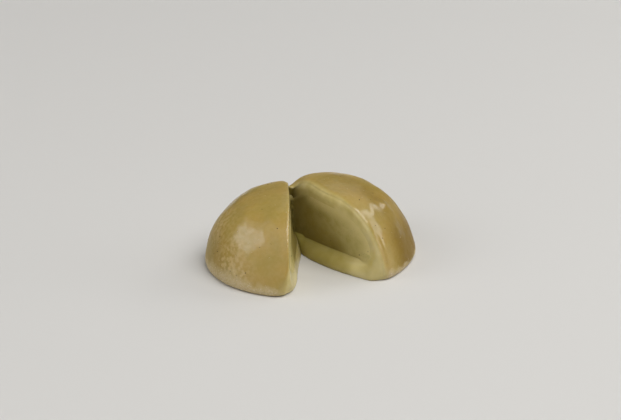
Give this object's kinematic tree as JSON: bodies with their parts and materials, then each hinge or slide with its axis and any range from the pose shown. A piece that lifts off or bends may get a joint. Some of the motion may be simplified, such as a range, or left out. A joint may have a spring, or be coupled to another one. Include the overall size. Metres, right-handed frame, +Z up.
{
  "type": "mochi rice cake",
  "caption": "Soft rice-dough dome round a smooth green tea paste, cut down from the front and opened like a book, still joined at the back.",
  "frame": {"origin": "middle of the opened cake's footprint, on the flat base", "axes": "+Z up from the base; the opening between the halves faces -Y; +X is the side of the larger half"},
  "size_m": [0.0722, 0.052, 0.0261],
  "materials": {
    "rice_dough": "moist translucent rice dough, satin gloss, dusted with starch at its lower edge",
    "green_tea_paste": "smooth matte bean and green tea paste",
    "starch": "dry white starch powder",
    "tea_leaf": "dark ground tea leaf"
  },
  "bodies": {
    "root": {"dough": "rice_dough", "filling": "green_tea_paste"}
  },
  "joints": []
}
